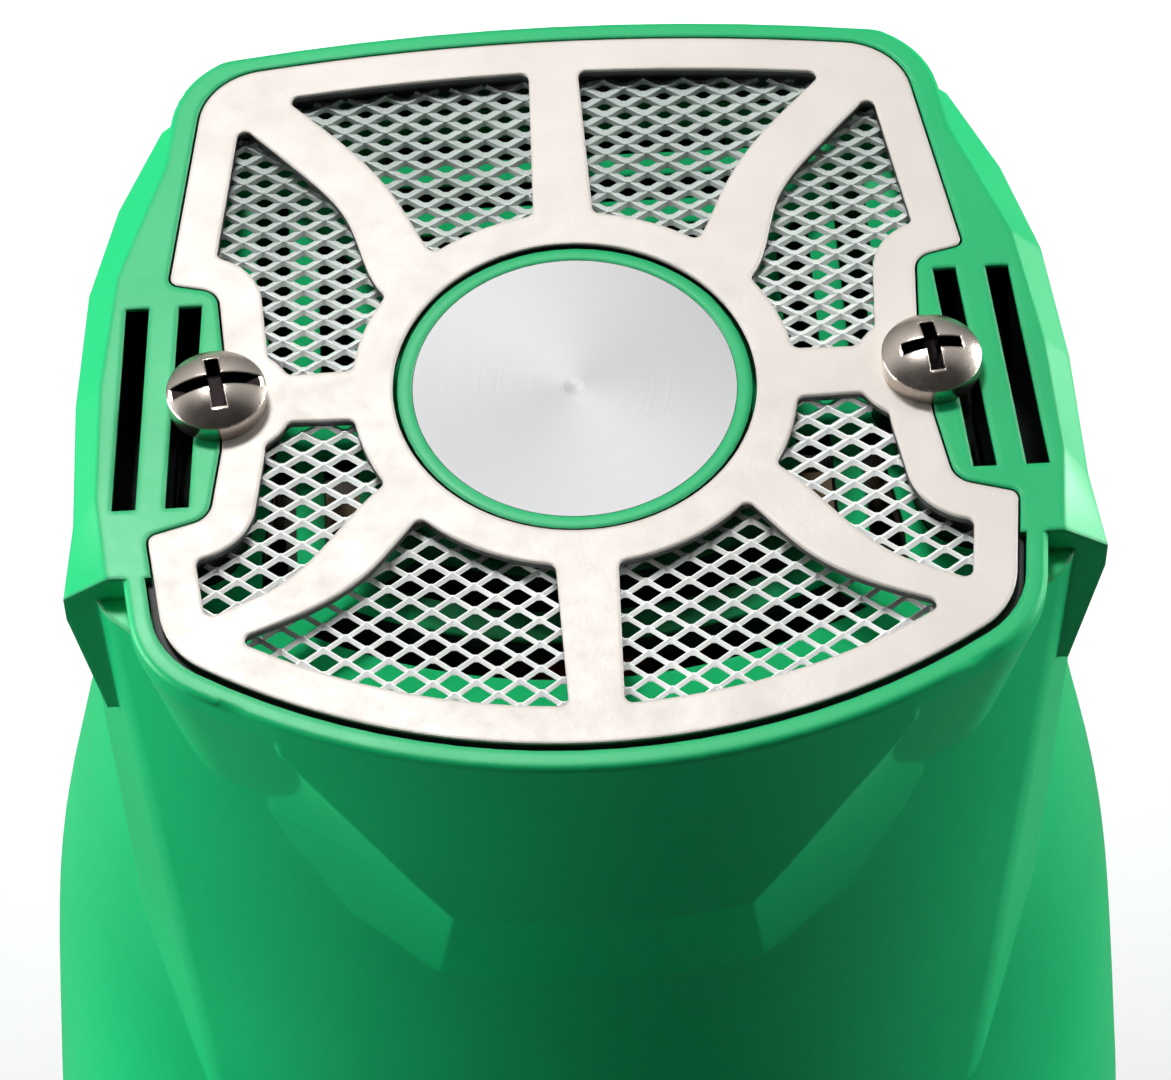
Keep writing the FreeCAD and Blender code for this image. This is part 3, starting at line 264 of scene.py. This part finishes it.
def inner_painted_shade(tree):
    """1 where shade is painted: on the walls under the frame, inside the shell and in the side
    pods' slots.
    """
    x, y, z = axes(tree, coords(tree))
    beside = math_node(tree, "ABSOLUTE", x)

    room_wide, room_long, room_y, room_top = 35.5 * MM, 33.0 * MM, 1.5 * MM, TOP - 5.9 * MM
    room = product(tree,
                   in_oval(tree, x, math_node(tree, "SUBTRACT", y, room_y), room_wide, room_long),
                   math_node(tree, "LESS_THAN", z, room_top))

    slot_sides, slot_ends = (29.4 * MM, 37.3 * MM), (-10.9 * MM, 10.6 * MM)
    slot_deep = (TOP - 14.0 * MM, TOP - 0.35 * MM)
    slots = product(tree, between(tree, beside, slot_sides), between(tree, y, slot_ends),
                    between(tree, z, slot_deep))

    # the well of the frame is a rounded square with a round front
    front_y, front_radius = 21.1 * MM, 54.6 * MM
    well_wide, well_long, well_deep = 34.0 * MM, 37.6 * MM, (TOP - 5.4 * MM, TOP - 0.3 * MM)
    well = product(tree,
                   in_oval(tree, x, math_node(tree, "SUBTRACT", y, front_y),
                           front_radius, front_radius),
                   in_oval(tree, x, y, well_wide, well_long, power=4.0),
                   between(tree, z, well_deep))
    return math_node(tree, "MAXIMUM", math_node(tree, "MAXIMUM", room, slots), well)


def grille_painted_shade(tree):
    """1 on the grille under the mesh, and how much shade is painted on it: a painted shadow of
    the ring near the front of the hub, and a lighter painted shade of the mesh elsewhere.
    """
    _, y, z = axes(tree, coords(tree))
    grille_radius, grille_deep = 35.0 * MM, (TOP - 7.0 * MM, TOP - 5.0 * MM)
    away = from_axis(tree)
    # painted shadow of the ring, strongest just in front of the hub
    by_hub = product(tree, spread(tree, away, 1.0, 0.0, start=22.0 * MM, end=25.0 * MM),
                     spread(tree, y, 1.0, 0.0, start=-8.0 * MM, end=4.0 * MM))
    # painted shade of the mesh over the rest of the grille
    least = 0.20
    below = product(tree, between(tree, z, grille_deep),
                    math_node(tree, "LESS_THAN", away, grille_radius))
    return below, product(tree, below, math_node(tree, "MAXIMUM", by_hub, least))


def green_plastic():
    """Moulded green with lighter, rubbed edges, a matt grille under painted shade and a painted
    dark inside.
    """
    made = plastic("green_plastic", GREEN_DARK, GREEN, 0.36, edge=0.7 * MM)
    tree = made.node_tree
    shader = tree.nodes["Principled BSDF"]
    mixed(tree, shader, product(tree, edge_wear(tree), 0.5), GREEN_RUBBED)
    # painted shade on the grille under the mesh
    grille, grille_shade = grille_painted_shade(tree)
    mixed(tree, shader, grille_shade, GREEN_PAINTED_SHADE)
    # painted shade inside the shell, in the pods' slots and on the well's walls
    mixed(tree, shader, inner_painted_shade(tree), SHADE)
    matt = 0.95
    polish = shader.inputs["Roughness"].links[0].from_socket
    tree.links.new(math_node(tree, "MAXIMUM", polish, product(tree, grille, matt)),
                   shader.inputs["Roughness"])
    shader.inputs["Specular IOR Level"].default_value = 0.30
    shader.inputs["Specular Tint"].default_value = (0.70, 1.0, 0.85, 1.0)
    shader.inputs["Subsurface Weight"].default_value = 0.04
    shader.inputs["Subsurface Radius"].default_value = (0.2, 1.0, 0.45)
    shader.inputs["Subsurface Scale"].default_value = 1.2 * MM
    return made


def frame_metal():
    """Satin nickel plate over blasted steel: near white, with a fine grain and painted shade on
    its side walls.
    """
    made, tree, shader = material("satin_nickel", (0.50, 0.47, 0.43), 0.45, metallic=0.12)
    place = coords(tree)
    drift = noise(tree, place, scale=160.0, detail=5.0)
    tint(tree, shader, spread(tree, drift, 0.0, 1.0, start=0.35, end=0.65),
         (0.485, 0.450, 0.412), (0.510, 0.474, 0.435))
    polished(tree, shader, noise(tree, place, scale=260.0, detail=6.0, rough=0.7), 0.38, 0.54)
    slow = noise(tree, place, scale=90.0, detail=3.0)
    fine = noise(tree, place, scale=2600.0, detail=3.0, rough=0.7)
    bumps(tree, shader, [(slow, 0.2, 0.08 * MM), (fine, 0.5, 0.025 * MM)], edge=0.45 * MM)
    # painted shade on the plate's side walls, below its top face
    _, _, z = axes(tree, place)
    wall_shade = spread(tree, z, 1.0, 0.0, start=TOP - 0.30 * MM, end=TOP - 0.12 * MM)
    mixed(tree, shader, wall_shade, WALL_SHADE)
    return made


def badge_metal():
    """Aluminium turned on a lathe: fine rings round a small centre dimple."""
    made, tree, shader = material("turned_aluminium", (0.36, 0.36, 0.365), 0.46, metallic=0.4)
    shader.inputs["Anisotropic"].default_value = 0.40
    tangent = tree.nodes.new("ShaderNodeTangent")
    tangent.direction_type = "RADIAL"
    tangent.axis = "Z"
    tree.links.new(tangent.outputs["Tangent"], shader.inputs["Tangent"])
    away = from_axis(tree)
    rings = add(tree, "ShaderNodeTexNoise", Scale=9000.0, Detail=3.0, Roughness=0.7)
    rings.noise_dimensions = "1D"
    tree.links.new(away, rings.inputs["W"])
    polished(tree, shader, rings.outputs["Fac"], 0.50, 0.62)
    dimple = spread(tree, away, 0.0, 1.0, start=0.2 * MM, end=0.9 * MM)
    bumps(tree, shader, [(dimple, 0.4, 0.1 * MM), (rings.outputs["Fac"], 0.25, 0.004 * MM)])
    return made


def mesh_metal():
    """Bright plated strands, darkened towards the back by painted shade."""
    made = metal("bright_mesh", (0.90, 0.92, 0.90), 0.36, edge=0.1 * MM)
    tree = made.node_tree
    shader = tree.nodes["Principled BSDF"]
    shader.inputs["Metallic"].default_value = 0.25
    _, y, _ = axes(tree, coords(tree))
    # painted shade, darkest on the strands towards the back
    darkest = 0.85
    rear_shade = spread(tree, y, 0.0, darkest, start=-8.0 * MM, end=24.0 * MM)
    mixed(tree, shader, rear_shade, REAR_MESH_SHADE)
    return made


def screw_steel():
    """Brownish screw steel with painted shade in the two recesses of the intake screws."""
    made = metal("screw_steel", (0.68, 0.60, 0.53), 0.24)
    tree = made.node_tree
    shader = tree.nodes["Principled BSDF"]
    dome, under_dome = 1.55 * DOMED_HEAD_RADIUS, 0.14 * MM
    in_rim, above_frame = 0.1 * MM, 0.8 * MM
    x, y, z = axes(tree, coords(tree))
    aside = math_node(tree, "SUBTRACT", math_node(tree, "ABSOLUTE", x), SCREW_X)
    rise = math_node(tree, "SUBTRACT", z, TOP + DOMED_HEAD_HIGH - dome)
    # painted shade in each screw head's recess
    recess = product(tree,
                     math_node(tree, "LESS_THAN", power_sum(tree, aside, y, rise),
                               (dome - under_dome) ** 2),
                     math_node(tree, "LESS_THAN", power_sum(tree, aside, y),
                               (DOMED_HEAD_RADIUS - in_rim) ** 2),
                     math_node(tree, "GREATER_THAN", z, TOP + above_frame))
    mixed(tree, shader, recess, SCREW_RECESS_SHADE)
    return made


# ---------------------------------------------------------------- one look for each slot

SLOT_LOOKS = {
    "green_housing": green_plastic,
    "frame_metal": frame_metal,
    "mesh_metal": mesh_metal,
    "badge_metal": badge_metal,
    "screw_steel": screw_steel,
    "steel": lambda: metal("ground_steel", (0.55, 0.55, 0.56), 0.28),
    "lamination": lambda: metal(
        "lamination_stack", (0.22, 0.22, 0.24), 0.50, grain=1500.0, stretch=(1, 1, 12)),
    "copper": lambda: metal(
        "enamelled_copper", (0.55, 0.20, 0.08), 0.32, grain=1800.0, stretch=(1, 1, 6)),
    "brass": lambda: metal("dull_brass", (0.07, 0.05, 0.03), 0.55),
    "cast_metal": lambda: metal(
        "cast_aluminium", (0.50, 0.50, 0.50), 0.50, grain=900.0, grain_high=0.1 * MM),
    "black_housing": lambda: plastic(
        "black_plastic", (0.010, 0.010, 0.011), (0.016, 0.016, 0.017), 0.42),
    "carbon": lambda: plastic(
        "carbon", (0.012, 0.012, 0.012), (0.03, 0.03, 0.03), 0.55),
    "fan_plastic": lambda: plastic(
        "fan_plastic", (0.012, 0.012, 0.013), (0.022, 0.022, 0.023), 0.40),
    "insulation": lambda: plastic(
        "phenolic", (0.035, 0.018, 0.012), (0.05, 0.026, 0.016), 0.50),
    "rubber_black": lambda: plastic(
        "soft_rubber", (0.008, 0.008, 0.008), (0.014, 0.014, 0.014), 0.62, grain=2200.0),
    "foam_grey": lambda: plastic(
        "pad_foam", (0.018, 0.018, 0.019), (0.035, 0.035, 0.036), 0.85,
        grain=1200.0, grain_high=0.2 * MM),
    "hook_black": lambda: plastic(
        "hook_fabric", (0.01, 0.01, 0.01), (0.03, 0.03, 0.03), 0.9,
        grain=1600.0, grain_high=0.4 * MM),
    "abrasive": lambda: plastic(
        "abrasive_grit", (0.20, 0.09, 0.04), (0.36, 0.20, 0.10), 0.85,
        grain=2600.0, grain_high=0.3 * MM),
    "filter_paper": lambda: plastic(
        "filter_paper", (0.60, 0.56, 0.46), (0.72, 0.68, 0.58), 0.8,
        grain=1200.0, grain_high=0.1 * MM),
    "switch_red": lambda: plastic(
        "switch_red", (0.32, 0.008, 0.006), (0.40, 0.012, 0.010), 0.25),
    "board_green": lambda: plastic(
        "circuit_board", (0.01, 0.09, 0.03), (0.015, 0.12, 0.04), 0.35),
}
MATERIALS = {}


def look(slot):
    """The material of a slot, made the first time that it is asked for."""
    if slot not in MATERIALS:
        MATERIALS[slot] = SLOT_LOOKS[slot]()
    return MATERIALS[slot]


slots = {part["node"]: part["material_slot"] for part in frame["record"]["subparts"]}
for name, obj in nodes.items():
    obj.data.materials.clear()
    obj.data.materials.append(look(slots[name]))

# ---------------------------------------------------------------- expanded-metal mesh

ROWS, COLUMNS = 20, 12                   # on each side of the middle
LONG_WAY, SHORT_WAY = 3.36 * MM, 2.13 * MM
STRAND_WIDE, STRAND_THICK = 1.15 * MM, 0.46 * MM
KNOT, KNOT_THICKER = 0.10 * MM, 1.25     # half the length of the metal where strands meet
PITCH_MIDDLE, PITCH_SLOPE = math.radians(41.0), math.radians(-0.60) / MM
SAG_AHEAD, SAG_BEHIND = 0.0024 / MM, 0.0003 / MM     # drop per square of the distance
MESH_TURN = math.radians(-1.5)
MESH_TOP = TOP - 1.5 * MM
MESH_MARGIN = 2.0 * MM                   # how far inside the frame's outline the mesh ends
HUB_CLEAR, POST_CLEAR = 15.2 * MM, 5.4 * MM
# the frame's right-hand side as x, y corners in millimetres from back to front
FRAME_SIDE = [(27.7, 45.0), (32.4, 12.4), (28.4, 11.4), (27.9, 4.0), (28.3, -5.0), (29.3, -11.6),
              (34.2, -13.1), (32.4, -28.0), (30.0, -45.0)]
# the frame's front and back, each as its centre's y and its radius
FRAME_ARCS = [(21.1 * MM, 55.7 * MM), (-141.1 * MM, 178.0 * MM)]


def side_reach(y):
    """Half the frame's width at y."""
    for (x0, y0), (x1, y1) in zip(FRAME_SIDE, FRAME_SIDE[1:]):
        if y0 >= y / MM >= y1:
            return (x0 + (x1 - x0) * (y0 - y / MM) / (y0 - y1)) * MM
    return 0.0


def mesh_inside(x, y):
    """True where the mesh may run: under the frame, clear of the hub and the screw posts."""
    if math.hypot(x, y) < HUB_CLEAR or math.hypot(abs(x) - SCREW_X, y) < POST_CLEAR:
        return False
    for centre, radius in FRAME_ARCS:
        if math.hypot(x, y - centre) > radius - MESH_MARGIN:
            return False
    return abs(x) < side_reach(y) - MESH_MARGIN


def expanded_mesh():
    """Zigzag ribbons that meet at knots, pitched over steeply in front and flatter behind."""
    shape = bmesh.new()
    turn = Matrix.Rotation(MESH_TURN, 3, "Z")

    def point(x, y):
        """A point of the flat pattern, turned and let sag."""
        spot = turn @ Vector((x, y, 0))
        spot.z = MESH_TOP - (SAG_AHEAD if spot.y < 0 else SAG_BEHIND) * spot.y ** 2
        return spot

    def bar(a, b, thicker=1.0):
        """A straight piece of ribbon from a to b, if both ends lie inside the mesh."""
        if not (mesh_inside(a.x, a.y) and mesh_inside(b.x, b.y)):
            return
        pitch = PITCH_MIDDLE + PITCH_SLOPE * (a.y + b.y) / 2
        wide = Vector((0, math.cos(pitch), -math.sin(pitch))) * STRAND_WIDE / 2
        thick = Vector((0, math.sin(pitch), math.cos(pitch))) * STRAND_THICK / 2 * thicker
        ring = [[shape.verts.new(end + wide * i + thick * j)
                 for i, j in ((-1, -1), (1, -1), (1, 1), (-1, 1))] for end in (a, b)]
        for k in range(4):
            shape.faces.new((ring[0][k], ring[1][k], ring[1][k - 1], ring[0][k - 1]))
        shape.faces.new(ring[0])
        shape.faces.new(ring[1][::-1])

    for row in range(-ROWS, ROWS + 1):
        for column in range(-COLUMNS, COLUMNS + 1):
            for half in (0, 0.5):
                x, y = (column + half) * LONG_WAY, (row + half) * SHORT_WAY
                bar(point(x - 2 * KNOT, y), point(x + 2 * KNOT, y), KNOT_THICKER)
                for lean in (-0.5, 0.5):
                    bar(point(x + KNOT, y), point(x + LONG_WAY / 2 - KNOT, y + lean * SHORT_WAY))
    bmesh.ops.recalc_face_normals(shape, faces=shape.faces)
    mesh = bpy.data.meshes.new("expanded_mesh")
    shape.to_mesh(mesh)
    shape.free()
    return mesh


def linked(name, mesh, surface):
    """A new object in the scene, with its material."""
    obj = bpy.data.objects.new(name, mesh)
    bpy.context.scene.collection.objects.link(obj)
    obj.data.materials.append(surface)
    return obj


mesh_piece = linked("expanded_mesh", expanded_mesh(), look("mesh_metal"))
mesh_piece.visible_shadow = False        # it casts no shadow; its shade on the grille is painted into the green plastic instead
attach(mesh_piece, "body")
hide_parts("filter_mesh")

# ---------------------------------------------------------------- floor, light and camera

FLOOR_REACH, FLOOR_Z = 3.0, -0.2 * MM
WALL_LOW, WALL_HIGH = -0.01, 1.5
CORNERS = [(-FLOOR_REACH, -FLOOR_REACH), (FLOOR_REACH, -FLOOR_REACH),
           (FLOOR_REACH, FLOOR_REACH), (-FLOOR_REACH, FLOOR_REACH)]
WHITE = (1, 1, 1, 1)


def flat_mesh(name, corners, faces):
    """A mesh from its corners and faces."""
    mesh = bpy.data.meshes.new(name)
    mesh.from_pydata(corners, [], faces)
    return mesh


def floor():
    """A plain white floor that glows far away, so that it meets the surroundings evenly."""
    surface, tree, shader = material("floor_white", (0.72, 0.72, 0.72), 0.9, specular=0.1)
    shader.inputs["Emission Color"].default_value = WHITE
    glow, glow_from, glow_full = 0.70, 0.22, 0.75
    away = vector_math(tree, "LENGTH", coords(tree))
    tree.links.new(spread(tree, away, 0.0, glow, glow_from, glow_full),
                   shader.inputs["Emission Strength"])
    mesh = flat_mesh("floor", [(x, y, FLOOR_Z) for x, y in CORNERS], [range(4)])
    obj = linked("floor", mesh, surface)
    obj.visible_glossy = False           # its glare would wash out the faces that lean over it
    return obj


def backdrop():
    """A pale wall round the floor's edge that only the camera sees, for views from low down."""
    glow = 0.88
    surface, _, shader = material("backdrop_white", (0, 0, 0), 1.0, specular=0.0)
    shader.inputs["Emission Color"].default_value = WHITE
    shader.inputs["Emission Strength"].default_value = glow
    surface.cycles.emission_sampling = "NONE"
    mesh = flat_mesh("backdrop", [(x, y, z) for z in (WALL_LOW, WALL_HIGH) for x, y in CORNERS],
                     [(i, (i + 1) % 4, (i + 1) % 4 + 4, i + 4) for i in range(4)])
    obj = linked("backdrop", mesh, surface)
    for ray in ("diffuse", "glossy", "transmission", "volume_scatter", "shadow"):
        setattr(obj, "visible_" + ray, False)


def only(name, members):
    """A collection outside the scene that says what a light reaches."""
    made = bpy.data.collections.new(name)
    for member in members:
        made.objects.link(member)
    return made


def light(name, at, toward, size, power, reach, spread_angle=180):
    """A soft rectangular light that reaches the objects of one collection."""
    data = bpy.data.lights.new(name, "AREA")
    data.shape = "RECTANGLE"
    data.size, data.size_y = size
    data.energy = power
    data.spread = math.radians(spread_angle)
    obj = bpy.data.objects.new(name, data)
    obj.location = at
    obj.rotation_euler = (Vector(toward) - Vector(at)).to_track_quat("-Z", "Y").to_euler()
    bpy.context.scene.collection.objects.link(obj)
    obj.light_linking.receiver_collection = reach


def studio():
    """White surroundings: bright overhead and behind, dim in front and below."""
    world = bpy.data.worlds.new("studio")
    world.use_nodes = True
    tree = world.node_tree
    source = tree.nodes.new("ShaderNodeTexCoord")
    x, y, z = axes(tree, source.outputs["Generated"])
    behind = spread(tree, y, 0.03, 0.58, start=-0.05, end=0.45)
    leftward = spread(tree, x, 1.30, 0.85, start=-0.8, end=0.8)
    above = spread(tree, z, 0.25, 1.0, start=-0.20, end=0.50)
    background = tree.nodes["Background"]
    background.inputs["Color"].default_value = WHITE
    tree.links.new(product(tree, behind, leftward, above), background.inputs["Strength"])
    bpy.context.scene.world = world


def camera():
    """The camera above and ahead of the nose, looking down at the intake end."""
    data = bpy.data.cameras.new("camera")
    data.sensor_width, data.lens = 36.0, 142.12468       # solved from the ring and the frame
    data.clip_start, data.clip_end = 0.01, 20.0
    tilt = (36.252, 0.695, -3.211)
    obj = bpy.data.objects.new("camera", data)
    obj.location = (-8.44 * MM, -228.95 * MM, TOP + 291.13 * MM)
    obj.rotation_euler = [math.radians(angle) for angle in tilt]
    bpy.context.scene.collection.objects.link(obj)
    bpy.context.scene.camera = obj


INTAKE, MID_BODY = (0, 0, TOP), (0, 0, 0.10)
thing = only("thing", [obj for obj in bpy.context.scene.objects if obj.type == "MESH"])
strands = only("strands", [mesh_piece])
ground = only("ground", [floor()])
backdrop()
light("back_key", (-0.14, 0.40, 0.88), INTAKE, (0.20, 0.15), 7.2, thing)
light("left_soft", (-0.75, 0.06, 0.18), MID_BODY, (0.5, 0.25), 9.2, thing)
light("right_soft", (0.72, 0.24, 0.18), MID_BODY, (0.5, 0.25), 9.0, thing)
light("mesh_fill", (0.0, 0.36, 0.92), INTAKE, (0.16, 0.12), 5.0, strands)
light("floor_wash", (0, 0.55, 0.50), (0, 0.22, 0), (0.3, 0.3), 1.7, ground, spread_angle=70)
studio()
camera()
bpy.context.scene.view_settings.view_transform = "Standard"
